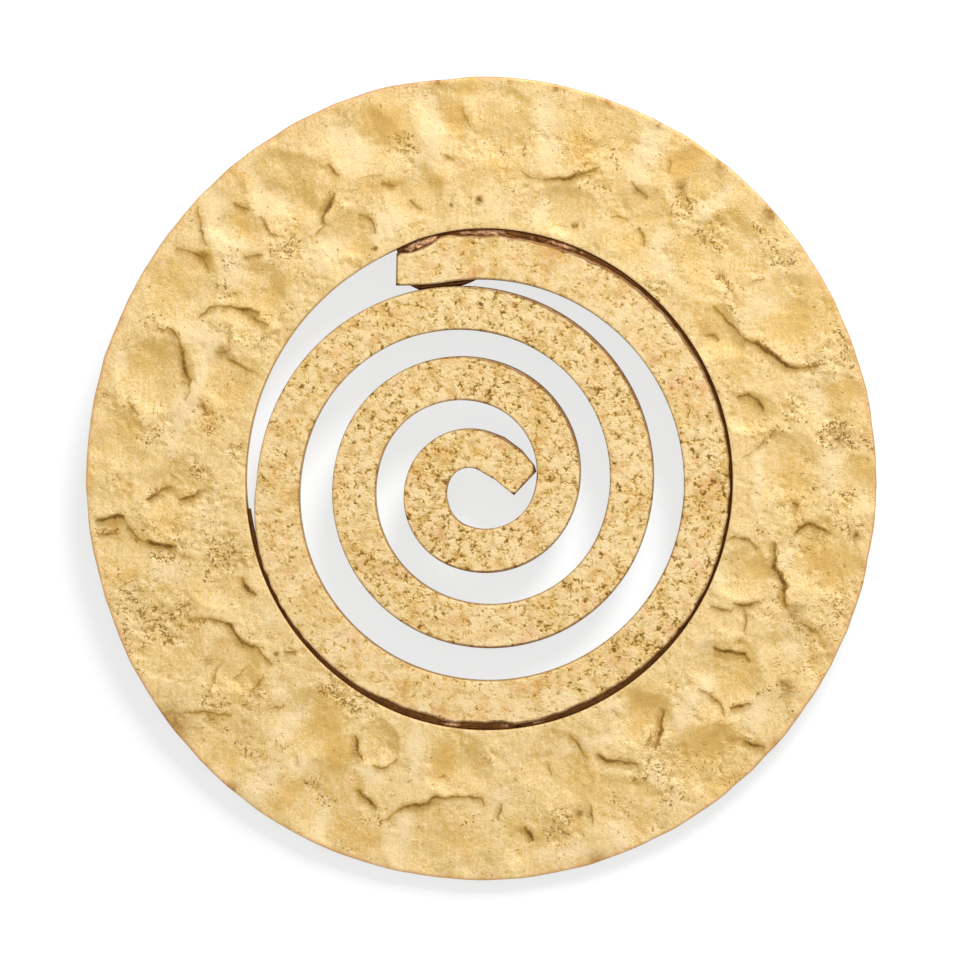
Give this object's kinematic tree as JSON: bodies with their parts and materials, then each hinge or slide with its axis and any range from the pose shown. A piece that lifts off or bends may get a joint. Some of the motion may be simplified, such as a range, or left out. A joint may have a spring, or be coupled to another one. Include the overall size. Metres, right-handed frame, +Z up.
{
  "type": "clip earring with a hammered disc and a spiral centre",
  "caption": "Round clip earring: a hammered brass disc whose large hole holds a flat brass strip wound into a spiral, with a spring clip on the back.",
  "frame": {"origin": "middle of the bounding box's base, on the surface that the earring lies on", "axes": "+Z up, out of the hammered face and away from the surface; +Y towards the top of the earring as worn; +X to the right as the face is seen"},
  "size_m": [0.0634, 0.0646, 0.0056],
  "materials": {
    "hammered_brass": "hammered and satin, with brown tarnish in the creases and pits",
    "flat_brass_strip": "flat and finely pitted satin, with olive brown tarnish in the pits and brown edges",
    "clip_brass": "plain dull satin"
  },
  "bodies": {
    "root": {"hammered_disc": "hammered_brass", "spiral_strip": "flat_brass_strip", "ear_clip": "clip_brass"}
  },
  "joints": []
}
